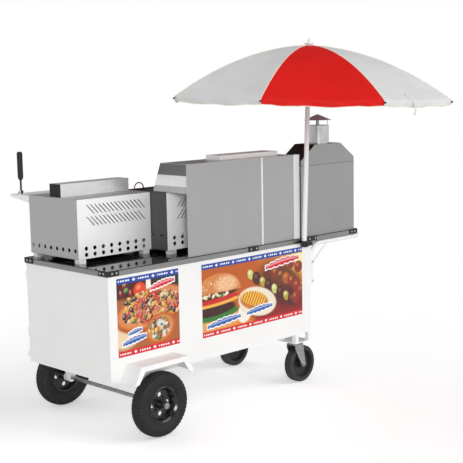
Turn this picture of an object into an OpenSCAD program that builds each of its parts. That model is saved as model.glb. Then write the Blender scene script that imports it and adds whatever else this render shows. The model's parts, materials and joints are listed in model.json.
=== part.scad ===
// Push vending cart: cabinet on two large wheels and two casters, cooking tops, market umbrella.
// Millimetres. X along the customer side, Y towards the operator, Z up; floor at Z = 0.

/* [Cabinet] */
// Length of the cabinet along X
body_len = 1400; // [1150:10:1650]
// Depth of the cabinet along Y
body_dep = 640; // [600:10:760]
// Underside of the cabinet above the floor
body_bot = 288; // [280:1:320]
// Height of the cabinet walls
wall_h = 496; // [420:1:580]
// Thickness of the painted sheet panels
sheet = 3; // [2:0.5:4]
// Side of the square frame tube
tube = 25; // [20:1:30]
// Depth of the recess in each end panel
recess = 5; // [3:1:8]
// Width of the plain corner strip beside the wide print
strip_w = 55; // [40:1:70]
// Gap around each cabinet door
door_gap = 3; // [2:0.5:5]

/* [Worktop] */
// Length of the worktop with its shelf end
top_len = 1795; // [1760:5:1900]
// Thickness of the worktop board
top_t = 28; // [22:1:34]
// Thickness of the edge moulding
mould_t = 3; // [2:0.5:4]
// Height of the edge moulding
mould_h = 22; // [18:1:24]
// Leg length of the corner covers
cover_l = 62; // [50:1:80]
// Thickness of the corner covers
cover_t = 3; // [2:0.5:4]
// Height of the corner covers
cover_h = 25; // [20:1:27]

/* [Wheels] */
// Outer radius of the large tyres
tyre_r = 156; // [150:1:165]
// Width of the large tyres
tyre_w = 84; // [70:1:88]
// Radius of the large rims at the flange
rim_r = 88; // [80:1:92]
// Wheel position along X
wheel_x = 236; // [215:1:300]
// Distance of the wheel centre outside the cabinet side
wheel_out = 60; // [56:1:62]
// Diameter of the axle bar
axle_d = 20; // [16:1:24]
// Depth of the wheel arches
arch_dep = 106; // [106:1:115]

/* [Casters] */
// Caster wheel radius
cast_r = 101.6; // [90:0.1:105]
// Caster wheel width
cast_w = 50; // [40:1:52]
// Trail of the caster wheel behind its pivot
trail = 38; // [30:1:45]
// Side of the square riser plate
riser_s = 130; // [120:1:140]
// Total height of a caster
cast_h = 235; // [235:1:245]

/* [Handle] */
// Diameter of the handle tube
han_d = 24; // [20:1:26]
// Bend radius of the handle tube
han_bend = 80; // [60:1:100]
// Lower end of the handle tube above the floor
han_low = 540; // [480:5:580]
// Reach of the handle beyond the cabinet
han_reach = 468; // [440:1:520]

/* [Oven] */
// Oven width along X
oven_w = 450; // [400:5:452]
// Oven depth along Y
oven_d = 384; // [360:2:390]
// Oven casing height
oven_h = 284; // [270:2:310]
// Left side of the oven from the cabinet end
oven_x = 30; // [25:1:40]
// Height of the feet under both casings
foot_h = 22; // [18:1:26]
// Diameter of the round vents
vent_d = 20; // [12:1:22]
// Length of the slanted vents
slot_l = 62; // [50:1:66]
// Width of the slanted vents
slot_w = 5; // [3:0.5:6]
// Height of the lift-up flue box
lid_h = 62; // [45:1:68]
// Depth of the flue box
lid_d = 86; // [70:2:110]
// Length of the lever grip
grip_l = 140; // [120:1:150]
// Diameter of the lever grip
grip_d = 28; // [24:1:32]

/* [Griddle and guard] */
// Left side of the griddle casing
grid_x = 483; // [483:1:495]
// Griddle casing width
grid_w = 780; // [700:5:790]
// Front of the griddle casing from the cabinet face
grid_y = 134; // [120:1:150]
// Griddle casing depth
grid_d = 300; // [280:2:360]
// Griddle casing height
grid_h = 286; // [276:2:292]
// Left side of the wind guard
guard_x = 500; // [498:1:510]
// Wind guard length
guard_l = 770; // [740:5:780]
// Wind guard height
guard_h = 450; // [420:2:480]
// Depth of the guard roof
guard_d = 186; // [160:2:200]

/* [Hood] */
// Left side of the hood
hood_x = 1330; // [1325:1:1335]
// Hood width
hood_w = 452; // [420:2:460]
// Hood depth
hood_d = 145; // [135:1:160]
// Height of the upright part of the hood
hood_h = 386; // [360:2:400]
// Height of the gable part
gable_h = 108; // [90:2:120]
// Run of each gable slope
gable_run = 118; // [100:2:130]
// Chimney radius
pipe_r = 62; // [55:1:66]
// Chimney height
pipe_h = 100; // [80:2:120]
// Radius of the rain cap
cap_r = 76; // [72:1:85]

/* [Umbrella] */
// Distance of the pole foot from the cabinet left end
pole_x = 1322; // [1318:1:1326]
// Lean of the pole towards the shelf end in degrees
pole_lean = 1.1; // [0:0.1:4.4]
// Lean of the pole towards the customer in degrees
pole_tilt = 1.5; // [0:0.1:3]
// Radius of the pole
pole_r = 12.5; // [11:0.5:13]
// Length of the pole
pole_l = 1048; // [1000:2:1100]
// Radius of the canopy at the rib tips
can_r = 750; // [620:5:790]
// Drop of the canopy from crown to rim
can_drop = 268; // [240:2:320]
// Turn of the ribs around the pole in degrees
rib_turn = 24; // [0:1:44]
// Number of ribs
ribs_n = 8; // [6:2:8]

/* [Hidden] */
body_top = body_bot + wall_h;
work_z = body_top + top_t;
oven_y = body_dep - 4 - oven_d;
oven_z = work_z + foot_h;
oven_top = oven_z + oven_h;
lid_y = oven_y + oven_d - lid_d - 145;
grid_z = work_z + foot_h;
lever_y = 100;
grid_top = grid_z + grid_h;
guard_y = 4;
guard_top = work_z + guard_h;
hood_y = 5;
hood_cx = hood_x + hood_w / 2;
hood_cy = hood_y + hood_d / 2;
hood_seam = work_z + hood_h;
hood_top = hood_seam + gable_h;
pipe_top = hood_top + pipe_h;
cast_x = body_len - riser_s / 2;
cast_y = riser_s / 2;
han_r = han_d / 2;
han_x = body_len + han_r + 4;
han_y = han_r + 2;
han_z = body_top - han_r - 3;
han_end = body_len + han_reach - han_r;
pole_y = -22;
pole_z = body_top - 12;
wheel_n = -wheel_out;
wheel_f = body_dep + wheel_out;
arch_bw = 2 * (tyre_r + 26);
arch_tw = arch_bw - 78;
rail_top = body_bot + 86;
hinge_y = body_dep + 4.6;
barb_x = 900;
$fn = 64;

// Drop of the canopy cloth at the fraction t of its radius, nearly a parabola
function sag_line(t) = can_drop * (0.1 * t + 0.9 * t * t);
function can_fall(r) = r < 30 ? 0 : sag_line(r / can_r) - sag_line(30 / can_r);
// Height of the cloth on the pole axis, to the nearest eighth of a millimetre
function can_z(r) = round(8 * (pole_l + 12 - can_fall(r))) / 8;

// A box given by its two corners
module box(a, b) {
  translate(a) cube([b[0] - a[0], b[1] - a[1], b[2] - a[2]]);
}

// A cylinder along Y starting at p
module cyl_y(p, r, l) {
  translate(p) rotate([-90, 0, 0]) cylinder(r = r, h = l);
}

// A cylinder along X starting at p
module cyl_x(p, r, l) {
  translate(p) rotate([0, 90, 0]) cylinder(r = r, h = l);
}

// The same shape on the operator side
module both_sides() {
  children();
  translate([0, body_dep, 0]) mirror([0, 1, 0]) children();
}

// Puts the middle of the cabinet over the origin
module place() {
  translate([-body_len / 2, -body_dep / 2, 0]) children();
}

// Places its children in the leaning umbrella frame
module lean() {
  translate([pole_x, pole_y, pole_z]) rotate([pole_tilt, pole_lean, 0]) children();
}

module frame() {
  color("white") {
    for (x = [sheet, body_len - sheet - tube]) {
      for (y = [sheet, body_dep - sheet - tube]) {
        box([x, y, body_bot + sheet], [x + tube, y + tube, body_top]);
      }
    }
    for (y = [sheet, body_dep - sheet - tube]) {
      box([sheet + tube, y, body_bot + sheet], [body_len - sheet - tube, y + tube,
        body_bot + sheet + tube]);
      box([sheet + tube, y, body_top - tube], [body_len - sheet - tube, y + tube, body_top]);
    }
    for (x = [sheet, body_len - sheet - tube]) {
      box([x, sheet + tube, body_bot + sheet], [x + tube, body_dep - sheet - tube,
        body_bot + sheet + tube]);
      box([x, sheet + tube, body_top - tube], [x + tube, body_dep - sheet - tube, body_top]);
    }
    both_sides() {
      box([body_len, 2 * han_y + 8, body_top - tube], [top_len - 60, 2 * han_y + 8 + tube,
        body_top]);
      hanger();
    }
    box([top_len - 60 - tube, 2 * han_y + 8 + tube, body_top - tube],
      [top_len - 60, body_dep - 2 * han_y - 8 - tube, body_top]);
  }
}

// The plate and boss that hold the axle under one side of the cabinet
module hanger() {
  difference() {
    union() {
      translate([0, 6 + 8, 0]) rotate([90, 0, 0]) linear_extrude(8)
        polygon([[wheel_x - 60, body_bot], [wheel_x + 60, body_bot], [wheel_x + 22, tyre_r - 8],
          [wheel_x - 22, tyre_r - 8]]);
      cyl_y([wheel_x, wheel_n + 36.5, tyre_r], 23, 16 - wheel_n - 36.5);
    }
    cyl_y([wheel_x, wheel_n, tyre_r], axle_d / 2 + 0.1, 100);
  }
}

module front_panel() {
  color("white") {
    box([0, 0, body_bot + sheet], [body_len - strip_w, sheet, body_top]);
    box([body_len - strip_w + 1, 0, body_bot], [body_len, sheet, body_top]);
    box([0, 0, body_bot], [body_len - strip_w, sheet, body_bot + sheet]);
  }
}

module end_panels() {
  color("gainsboro") {
    difference() {
      box([0, sheet, body_bot], [sheet, body_dep, body_top]);
      for (z = [body_bot + tube + 4, body_top - tube - 6]) {
        box([-1, tube + 6, z], [1, body_dep - tube - 6, z + 3]);
      }
      for (y = [tube + 6, body_dep - tube - 9]) {
        box([-1, y, body_bot + tube + 4], [1, y + 3, body_top - tube - 3]);
      }
    }
    box([body_len - sheet, sheet, body_bot], [body_len, body_dep, body_top]);
  }
}

module floor_panel() {
  color("white") {
    box([sheet, sheet, body_bot], [body_len - sheet, body_dep - sheet, body_bot + sheet]);
    box([sheet, body_dep - sheet, body_bot], [body_len - sheet, body_dep, rail_top]);
  }
}

module worktop() {
  color([0.1, 0.1, 0.1]) union() {
    box([0, 0, body_top], [top_len, body_dep, work_z]);
    box([-mould_t, -mould_t, body_top + mould_h + 2], [top_len + mould_t, body_dep + mould_t,
      work_z]);
  }
}

module edge_moulding() {
  color("silver") difference() {
    union() {
      box([-mould_t, -mould_t, body_top], [top_len + mould_t, body_dep + mould_t,
        body_top + mould_h + 2]);
    }
    box([0, 0, body_top - 1], [top_len, body_dep, work_z]);
    for (z = [body_top + mould_h * 0.3, body_top + mould_h * 0.7]) {
      difference() {
        box([-mould_t - 5, -mould_t - 5, z], [top_len + 9, body_dep + 9, z + 2]);
        box([-mould_t + 1, -mould_t + 1, z - 1], [top_len + mould_t - 1, body_dep + mould_t - 1,
          z + 3]);
      }
    }
  }
}

// One straight cover plate on the customer side
module cover_flat(x0, x1) {
  box([x0, -mould_t - cover_t, work_z - cover_h], [x1, -mould_t, work_z + 1]);
}

module edge_covers() {
  xe = top_len + mould_t;
  color([0.08, 0.08, 0.08]) both_sides() {
    cover_flat(-mould_t - cover_t, cover_l);
    box([-mould_t - cover_t, -mould_t, work_z - cover_h], [-mould_t, cover_l, work_z + 1]);
    cover_flat(948 - 36, 948 + 36);
    cover_flat(body_len - 28, body_len + 46);
    cover_flat(top_len - cover_l, xe + cover_t);
    box([xe, -mould_t, work_z - cover_h], [xe + cover_t, cover_l, work_z + 1]);
  }
}

// Screw heads on the covers and the handle clamps
module screws() {
  yo = -mould_t - cover_t;
  color("silver") {
    both_sides() {
      for (x = [20, 46, 928, 968, body_len - 14, body_len + 32, top_len - 46, top_len - 20]) {
        cyl_y([x, yo - 2, work_z - 12], 5, 2);
      }
      for (y = [20, 46]) {
        cyl_x([-mould_t - cover_t - 2, y, work_z - 12], 5, 2);
      }
      for (z = [han_low + 25, han_low + 130]) {
        cyl_y([han_x, han_y - han_r - 4, z], 6, 4);
      }
    }
  }
}

// The trapezium of a wheel arch, grown by g
module arch_shape(g) {
  polygon([[-arch_bw / 2 - g, 0], [arch_bw / 2 + g, 0],
    [arch_tw / 2 + g, 80 + g], [-arch_tw / 2 - g, 80 + g]]);
}

module wheel_arches() {
  dy = arch_dep;
  color("white") both_sides() difference() {
    translate([wheel_x, 0, body_bot]) rotate([90, 0, 0]) linear_extrude(dy) arch_shape(0);
    translate([wheel_x, 1, body_bot - 1]) rotate([90, 0,
      0]) linear_extrude(dy + 1 - sheet) arch_shape(-2);
    translate([wheel_x, -dy + 10, body_bot - 1]) rotate([90, 0,
      0]) linear_extrude(20) arch_shape(-24);
  }
}

module axle() {
  color("silver") {
    cyl_y([wheel_x, wheel_n - 44, tyre_r], axle_d / 2, body_dep + 2 * wheel_out + 88);
    both_sides() cyl_y([wheel_x, wheel_n - 44 - 8, tyre_r], 15, 8);
  }
}

module risers() {
  color("white") for (y = [0, body_dep - riser_s]) {
    x = body_len - riser_s;
    box([x, y, cast_h], [x + riser_s, y + riser_s, cast_h + 4]);
    for (px = [x, x + riser_s - 25]) {
      for (py = [y, y + riser_s - 25]) {
        box([px, py, cast_h + 4], [px + 25, py + 25, body_bot]);
      }
    }
  }
}

// One side of the handle from its lower end to the cross bar
module handle_side() {
  translate([han_x, han_y, han_low]) cylinder(r = han_r, h = han_z - han_bend - han_low);
  translate([han_x + han_bend, han_y, han_z - han_bend]) rotate([90, 0, 0]) rotate([0, 0, 90])
    rotate_extrude(angle = 90) translate([han_bend, 0]) circle(r = han_r);
  cyl_x([han_x + han_bend, han_y, han_z], han_r, han_end - 50 - han_x - han_bend);
  translate([han_end - 50, han_y + 50, han_z]) rotate([0, 0, -90])
    rotate_extrude(angle = 90) translate([50, 0]) circle(r = han_r);
  for (z = [han_low + 25, han_low + 130]) {
    box([body_len, han_y - 9, z - 9], [han_x - 8, han_y + 9, z + 9]);
  }
  translate([han_x, han_y, han_z - 120]) rotate([0, atan2(150, 118), 0])
    cylinder(r = 6, h = sqrt(150 * 150 + 118 * 118));
  for (x = [body_len + 180, top_len - 110]) {
    translate([x, han_y, han_z]) cylinder(r = 8,
      h = body_top - tube - han_z > 2 ? body_top - tube - han_z : 2);
  }
}

module handle() {
  color("whitesmoke") union() {
    both_sides() handle_side();
    cyl_y([han_end, han_y + 50, han_z], han_r, body_dep - 2 * han_y - 100);
  }
}

module print_small() {
  color("orange") box([48, -0.6, body_bot + 114], [428, 0, body_top - 14]);
}

module print_wide() {
  color("tomato") box([body_len - strip_w - 764, -0.6, body_bot + 108],
    [body_len - strip_w - 18, 0, body_top - 20]);
}

// Slanted vents in a wall facing -Y, in two rows
module slots(x0, n, z0, side) {
  for (i = [0 : n - 1]) {
    for (k = [0, 1]) {
      translate([x0 + i * 24, 0, z0 + k * 57]) rotate([90, 0, 0]) linear_extrude(20, center = true)
        rotate(side * 45) square([slot_l, slot_w], center = true);
    }
  }
}

// Round vents along X, in two rows
module vents(x0, n, step, z0) {
  for (i = [0 : n - 1]) {
    for (k = [0, 1]) {
      cyl_y([x0 + i * step, -10, z0 + k * 30], vent_d / 2, 20);
    }
  }
}

module oven_shell() {
  x1 = oven_x + oven_w;
  y1 = oven_y + oven_d;
  color("silver") difference() {
    union() {
      box([oven_x, oven_y, oven_z], [x1, y1, oven_top]);
      box([oven_x + 20, y1, oven_top - 190], [x1 - 20, y1 + 6, oven_top - 30]);
    }
    box([oven_x + 2, oven_y + 2, oven_z + 2], [x1 - 2, y1 - 2, oven_top - 2]);
    box([oven_x + 44, oven_y + 44, oven_z - 1], [x1 - 44, y1 - 44, oven_z + 3]);
    cyl_y([x1 - 70, y1 - 5, oven_z + 60], 5.05, 10);
    box([oven_x + 34, y1 - 5, oven_top - 178], [x1 - 34, y1 + 9, oven_top - 42]);
    box([oven_x + 60, lid_y + 18, oven_top - 5], [x1 - 60, lid_y + lid_d - 18, oven_top + 5]);
    translate([0, oven_y, 0]) slots(oven_x + 80, 14, oven_top - 108, -1);
    translate([0, oven_y, 0]) vents(oven_x + 48, 8, (oven_w - 96) / 7, oven_z + 19);
    for (i = [0 : 7]) {
      cyl_x([oven_x - 9, oven_y + 22 + i * (oven_d - 44) / 7, oven_z + 40], vent_d / 2, 20);
      cyl_x([x1 - 9, oven_y + 22 + i * (oven_d - 44) / 7, oven_z + 40], vent_d / 2, 20);
    }
  }
}

module oven_ledge() {
  y1 = oven_y + oven_d;
  color("silver") {
    box([oven_x + 4, y1 + 0.2, oven_top - 8], [oven_x + oven_w - 4, y1 + 168, oven_top - 6]);
    for (x = [oven_x + 4, oven_x + oven_w - 6]) {
      translate([x, 0, 0]) rotate([90, 0, 90]) linear_extrude(2)
        polygon([[y1 + 0.2, oven_top - 8], [y1 + 168, oven_top - 8],
          [y1 + 168, oven_top - 18], [y1 + 0.2, oven_top - 42]]);
    }
    translate([oven_x + 24, y1 + lever_y, oven_top - 6]) lever_fork();
  }
}

// Two ears that carry the lever pin
module lever_fork() {
  for (x = [-12, 8]) {
    difference() {
      box([x, -8, 0], [x + 4, 8, 20]);
      cyl_x([x - 1, 0, 11], 4.05, 8);
    }
  }
}

module stove_feet() {
  color("silver") {
    for (x = [oven_x + 8, oven_x + oven_w - 48]) {
      for (y = [oven_y + 6, oven_y + oven_d - 40]) {
        box([x, y, work_z], [x + 40, y + 34, work_z + foot_h]);
      }
    }
    for (x = [grid_x + 24, grid_x + grid_w - 64]) {
      for (y = [grid_y + 6, grid_y + grid_d - 40]) {
        box([x, y, work_z], [x + 40, y + 34, work_z + foot_h]);
      }
    }
  }
}

module oven_deck() {
  color("tan") box([oven_x + 2, oven_y + 2, oven_top - 196], [oven_x + oven_w - 2,
    oven_y + oven_d - 2, oven_top - 178]);
}

// A row of burner tubes on two cross bars over a drip tray
module burner_set(x0, y0, w, d, z) {
  for (x = [x0 + w * 0.2, x0 + w * 0.5, x0 + w * 0.8]) {
    cyl_y([x, y0 + 30, z + 16], 12, d - 60);
  }
  for (y = [y0 + 60, y0 + d - 90]) {
    box([x0 + 4, y, z + 2], [x0 + w - 4, y + 30, z + 8]);
    box([x0 + 80, y, z - 12], [x0 + w - 80, y + 30, z + 3]);
  }
  box([x0 + 80, y0 + 60, z - 14], [x0 + w - 80, y0 + d - 60, z - 12]);
}

module burners() {
  color([0.15, 0.15, 0.15]) {
    burner_set(oven_x, oven_y, oven_w, oven_d, oven_z);
    burner_set(grid_x, grid_y, grid_w, grid_d, grid_z);
  }
}

module griddle_shell() {
  x1 = grid_x + grid_w;
  y1 = grid_y + grid_d;
  color("silver") difference() {
    box([grid_x, grid_y, grid_z], [x1, y1, grid_top - 10]);
    box([grid_x + 2, grid_y + 2, grid_z + 2], [x1 - 2, y1 - 2, grid_top]);
    box([grid_x + 44, grid_y + 44, grid_z - 1], [x1 - 44, y1 - 44, grid_z + 3]);
    translate([0, grid_y, 0]) slots(grid_x + 90, 26, grid_top - 112, 1);
    translate([0, grid_y, 0]) vents(grid_x + 48, 14, (grid_w - 96) / 13, grid_z + 30);
    for (y = [grid_y + 30, grid_y + 100]) {
      box([grid_x - 5, y, grid_z + 70], [grid_x + 5, y + 26, grid_z + 76]);
    }
    for (x = [grid_x + 220, grid_x + grid_w - 220]) {
      cyl_y([x, y1 - 5, grid_z + 60], 5.05, 10);
    }
  }
}

module griddle_plate() {
  x1 = grid_x + grid_w;
  y1 = grid_y + grid_d;
  color([0.25, 0.25, 0.26]) difference() {
    box([grid_x, grid_y, grid_top - 10], [x1, y1, grid_top]);
    box([grid_x + 12, grid_y + 12, grid_top - 4], [x1 - 12, y1 - 12, grid_top + 1]);
    box([grid_x + 160, y1 - 40, grid_top - 12], [grid_x + 240, y1 - 22, grid_top + 1]);
  }
}

module lift_handle() {
  color([0.45, 0.3, 0.15]) translate([grid_x + 52, grid_y + grid_d - 34, grid_top - 4]) {
    box([-34, -8, 0], [34, 8, 6]);
    translate([0, 0, 6]) rotate([90, 0, 0]) rotate_extrude(angle = 180)
      translate([30, 0]) circle(r = 3);
  }
}

module gas_inlet() {
  color([0.75, 0.6, 0.3]) {
    cyl_y([barb_x, grid_y + grid_d, grid_z + 30], 9, 10);
    cyl_y([barb_x, grid_y + grid_d + 10, grid_z + 30], 4.75, 25);
  }
}

module guard_panel() {
  x1 = guard_x + guard_l;
  color("silver") {
    difference() {
      box([guard_x, guard_y, work_z], [x1, guard_y + 2, guard_top]);
      box([guard_x + 522, guard_y - 1, work_z + 12], [guard_x + 532, guard_y + 1, guard_top - 40]);
    }
    translate([0, 0, work_z]) linear_extrude(guard_h)
      polygon([[x1, guard_y], [x1 + 40, guard_y - 7], [x1 + 40, guard_y - 5], [x1, guard_y + 2]]);
    box([x1 + 38, guard_y - 5, work_z], [x1 + 40, guard_y + 30, guard_top]);
  }
}

module guard_roof() {
  x1 = guard_x + guard_l;
  y0 = guard_y + 2;
  color("silver") {
    box([guard_x, y0, guard_top - 2], [x1, y0 + guard_d, guard_top]);
    for (x = [guard_x, x1 - 2]) {
      translate([x, 0, 0]) rotate([90, 0, 90]) linear_extrude(2)
        polygon([[y0, guard_top - 2], [y0 + guard_d, guard_top - 2], [y0 + guard_d + 58,
          grid_top + 0.2],
          [grid_y, grid_top + 0.2], [grid_y - 1, grid_top + 0.2], [y0, grid_top + 0.2]]);
    }
  }
}

module guard_tray() {
  color("silver") translate([guard_x + 290, guard_y + 62, guard_top]) difference() {
    box([0, 0, 0], [425, 105, 22]);
    box([3, 3, -1], [422, 102, 19]);
  }
}

module hood_box() {
  x1 = hood_x + hood_w;
  y1 = hood_y + hood_d;
  color("silver") difference() {
    box([hood_x, hood_y, work_z], [x1, y1, hood_seam]);
    box([hood_x + 2, hood_y + 2, work_z - 1], [x1 - 2, y1 - 2, hood_seam + 1]);
    box([hood_x + 30, y1 - 5, work_z + 12], [x1 - 30, y1 + 5, hood_seam - 90]);
  }
}

// Outline of the gable, shrunk by g
module gable(g) {
  polygon([[hood_x + g, hood_seam], [hood_x + hood_w - g, hood_seam], [hood_x + hood_w - g,
    hood_seam + 26 - g],
    [hood_x + hood_w - gable_run - g / 2, hood_top - g], [hood_x + gable_run + g / 2,
      hood_top - g],
    [hood_x + g, hood_seam + 26 - g]]);
}

module hood_roof() {
  y1 = hood_y + hood_d;
  color("silver") difference() {
    translate([0, y1, 0]) rotate([90, 0, 0]) linear_extrude(hood_d) gable(0);
    translate([0, y1 - 2, -0.01]) rotate([90, 0, 0]) linear_extrude(hood_d - 4) gable(2);
    translate([hood_cx, hood_cy, hood_top - 8]) cylinder(r = pipe_r - 2, h = 20);
  }
}

module chimney() {
  color("silver") translate([hood_cx, hood_cy, hood_top]) difference() {
    union() {
      cylinder(r = pipe_r, h = pipe_h);
      translate([0, 0, pipe_h - 18]) cylinder(r = pipe_r + 1.5, h = 4);
    }
    translate([0, 0, -1]) cylinder(r = pipe_r - 2, h = pipe_h + 2);
  }
}

module chimney_cap() {
  color("silver") translate([hood_cx, hood_cy, pipe_top]) {
    difference() {
      translate([0, 0, 28]) cylinder(r1 = cap_r, r2 = 0.5, h = 32);
      translate([0, 0, 26]) cylinder(r1 = cap_r - 2, r2 = 0.1, h = 30);
    }
    for (a = [45 : 90 : 315]) {
      rotate(a) box([pipe_r - 8, -4, -24], [pipe_r - 6.4 + 4.2, 4, 0]);
      rotate(a) box([pipe_r - 8, -4, 0], [pipe_r - 6, 4, 31]);
    }
  }
}

module grill_tray() {
  x0 = hood_x + 10;
  x1 = hood_x + hood_w - 10;
  y0 = hood_y + hood_d + 4;
  y1 = body_dep - 60;
  color([0.2, 0.2, 0.2]) {
    difference() {
      box([x0, y0, work_z + 30], [x1, y1, work_z + 120]);
      box([x0 + 3, y0 + 3, work_z + 33], [x1 - 3, y1 - 3, work_z + 121]);
      for (x = [x0 + 60, x1 - 160]) {
        box([x, y1 - 8, work_z + 52], [x + 100, y1 + 4, work_z + 66]);
      }
    }
    for (x = [x0, x1 - 24]) {
      for (y = [y0, y1 - 24]) {
        box([x, y, work_z], [x + 24, y + 24, work_z + 30]);
      }
    }
  }
}

module grill_grate() {
  x0 = hood_x + 10;
  x1 = hood_x + hood_w - 10;
  y0 = hood_y + hood_d + 4;
  y1 = body_dep - 60;
  color("gray") {
    for (i = [0 : 16]) {
      x = x0 + 14 + i * (x1 - x0 - 28) / 16;
      cyl_y([x, y0 + 2, work_z + 127.6], 3, y1 - y0 - 4);
    }
    for (y = [y0, y1 - 8]) {
      box([x0 + 6, y, work_z + 120.3], [x1 - 6, y + 8, work_z + 124.3]);
    }
  }
}

module pole_socket() {
  color([0.08, 0.08, 0.08]) difference() {
    union() {
      lean() translate([0, 0, -5]) cylinder(r = pole_r + 6, h = 32);
      yc = -mould_t - cover_t - 0.5;
      box([pole_x + 16, pole_y + 4, body_top - 18], [body_len - 4, yc, body_top + 2]);
      box([pole_x + 30, yc, body_top - 18], [body_len - 4, 0, body_top - 1]);
    }
    lean() cylinder(r = pole_r + 0.05, h = 60);
    lean() translate([0, 0, 14]) rotate([90, 0, 0]) cylinder(r = 3.05, h = 40);
  }
}

module clamp_knob() {
  color([0.1, 0.1, 0.1]) lean() translate([0, 0, 14]) rotate([90, 0, 0]) {
    translate([0, 0, pole_r + 1]) cylinder(r = 3, h = 12);
    difference() {
      translate([0, 0, pole_r + 7]) cylinder(r = 14, h = 12);
      for (a = [0 : 60 : 300]) {
        rotate(a) translate([16, 0, pole_r]) cylinder(r = 4, h = 30);
      }
    }
  }
}

module caster_plates() {
  color("silver") for (y = [cast_y, body_dep - cast_y]) {
    translate([cast_x, y, cast_h - 4]) translate([-52, -42, 0]) cube([104, 84, 4]);
    translate([cast_x, y, cast_h - 16]) cylinder(r = 26, h = 12);
    translate([cast_x, y, cast_h - 25]) cylinder(r = 7, h = 10);
  }
}

module large_tyre(y) {
  w = tyre_w / 2;
  color([0.12, 0.12, 0.12]) translate([wheel_x, y, tyre_r]) rotate([-90, 0, 0]) difference() {
    rotate_extrude() polygon([[rim_r - 6, -w * 0.62], [rim_r + 10, -w * 0.86], [rim_r + 30, -w],
      [tyre_r - 22, -w * 0.96], [tyre_r - 7, -w * 0.74], [tyre_r - 1, -w * 0.4], [tyre_r, 0],
      [tyre_r - 1, w * 0.4], [tyre_r - 7, w * 0.74], [tyre_r - 22, w * 0.96], [rim_r + 30, w],
      [rim_r + 10, w * 0.86], [rim_r - 6, w * 0.62]]);
    rotate_extrude() translate([tyre_r - 6, w * 0.2]) square([10, 3]);
    rotate_extrude() translate([tyre_r - 6, -w * 0.2 - 3]) square([10, 3]);
  }
}

// Steel disc rim with its hub; s is +1 when its outer face looks along +Y
module large_rim(y, s) {
  w = tyre_w / 2;
  color([0.1, 0.1, 0.1]) translate([wheel_x, y, tyre_r]) rotate([-90 * s, 0, 0]) {
    difference() {
      union() {
        rotate_extrude() polygon([[rim_r - 6, -w * 0.62], [rim_r - 6, w * 0.62],
          [rim_r + 1, w * 0.66 + 4], [rim_r - 3, w * 0.66 + 6], [rim_r - 12, w * 0.6],
          [rim_r - 20, w * 0.3], [rim_r - 20, -w * 0.3], [rim_r - 12, -w * 0.6]]);
        translate([0, 0, -4]) cylinder(r = rim_r - 18, h = 5);
        cylinder(r = 24, h = 34);
        translate([0, 0, -36]) cylinder(r = 22, h = 40);
      }
      translate([0, 0, -50]) cylinder(r = axle_d / 2 + 0.05, h = 120);
      for (a = [0 : 90 : 270]) {
        rotate(a) translate([46, 0, -10]) cylinder(r = 11, h = 30);
      }
    }
    for (a = [45 : 90 : 315]) {
      rotate(a) translate([36, 0, 0.5]) cylinder(r = 6, h = 7, $fn = 6);
    }
    rotate(20) translate([rim_r - 26, 0, 0]) rotate([0, 20, 0]) cylinder(r = 4, h = 24);
  }
}

module tyre_front() {
  large_tyre(wheel_n);
}

module tyre_back() {
  large_tyre(wheel_f);
}

module rim_front() {
  large_rim(wheel_n, -1);
}

module rim_back() {
  large_rim(wheel_f, 1);
}

module caster_fork(y) {
  z = cast_h - 16.3;
  color("silver") translate([cast_x, y, 0]) difference() {
    union() {
      translate([-30, -cast_w / 2 - 8, z - 5]) cube([64, cast_w + 16, 5]);
      for (s = [-1, 1]) {
        translate([0, s > 0 ? cast_w / 2 + 8 : -cast_w / 2 - 4, 0]) rotate([90, 0, 0])
          linear_extrude(4) union() {
          polygon([[-30, z], [34, z], [34, z - 12], [trail + 15, cast_r],
            [trail - 15, cast_r - 4], [-22, z - 40], [-30, z - 20]]);
          translate([trail, cast_r]) circle(r = 15);
        }
      }
      cyl_y([trail, -cast_w / 2 - 8, cast_r], 6, cast_w + 16);
      cyl_y([trail, -cast_w / 2 - 16, cast_r], 9, 8);
      cyl_y([trail, cast_w / 2 + 8, cast_r], 9, 8);
    }
    translate([0, 0, z - 20]) cylinder(r = 7.05, h = 30);
  }
}

module caster_tyre(y) {
  w = cast_w / 2;
  color([0.2, 0.2, 0.2]) translate([cast_x + trail, y, cast_r]) rotate([-90, 0, 0])
    rotate_extrude() polygon([[cast_r - 21, -w], [cast_r - 6, -w], [cast_r - 1, -w + 5],
      [cast_r, 0], [cast_r - 1, w - 5], [cast_r - 6, w], [cast_r - 21, w]]);
}

module caster_core(y) {
  w = cast_w / 2;
  color([0.5, 0.5, 0.5]) translate([cast_x + trail, y, cast_r]) rotate([-90, 0, 0]) difference() {
    union() {
      rotate_extrude() polygon([[24, -3], [cast_r - 34, -3], [cast_r - 26, -w + 2],
        [cast_r - 21, -w + 1], [cast_r - 21, w - 1], [cast_r - 26, w - 2], [cast_r - 34, 3], [24,
          3]]);
      translate([0, 0, -w - 2]) cylinder(r = 25, h = cast_w + 4);
    }
    translate([0, 0, -w - 5]) cylinder(r = 6.05, h = cast_w + 10);
  }
}

module fork_front() {
  caster_fork(cast_y);
}

module fork_back() {
  caster_fork(body_dep - cast_y);
}

module caster_tyre_front() {
  caster_tyre(cast_y);
}

module caster_tyre_back() {
  caster_tyre(body_dep - cast_y);
}

module caster_core_front() {
  caster_core(cast_y);
}

module caster_core_back() {
  caster_core(body_dep - cast_y);
}

module oven_door() {
  y1 = oven_y + oven_d + 6;
  color("silver") {
    box([oven_x + 28, y1 + 0.4, oven_top - 184], [oven_x + oven_w - 28, y1 + 3.4, oven_top - 44]);
    cyl_x([oven_x + 28, y1 + 4, oven_top - 44], 3, oven_w - 56);
    box([oven_x + 60, y1 + 3.4, oven_top - 180], [oven_x + oven_w - 60, y1 + 24, oven_top - 177]);
  }
}

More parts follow.
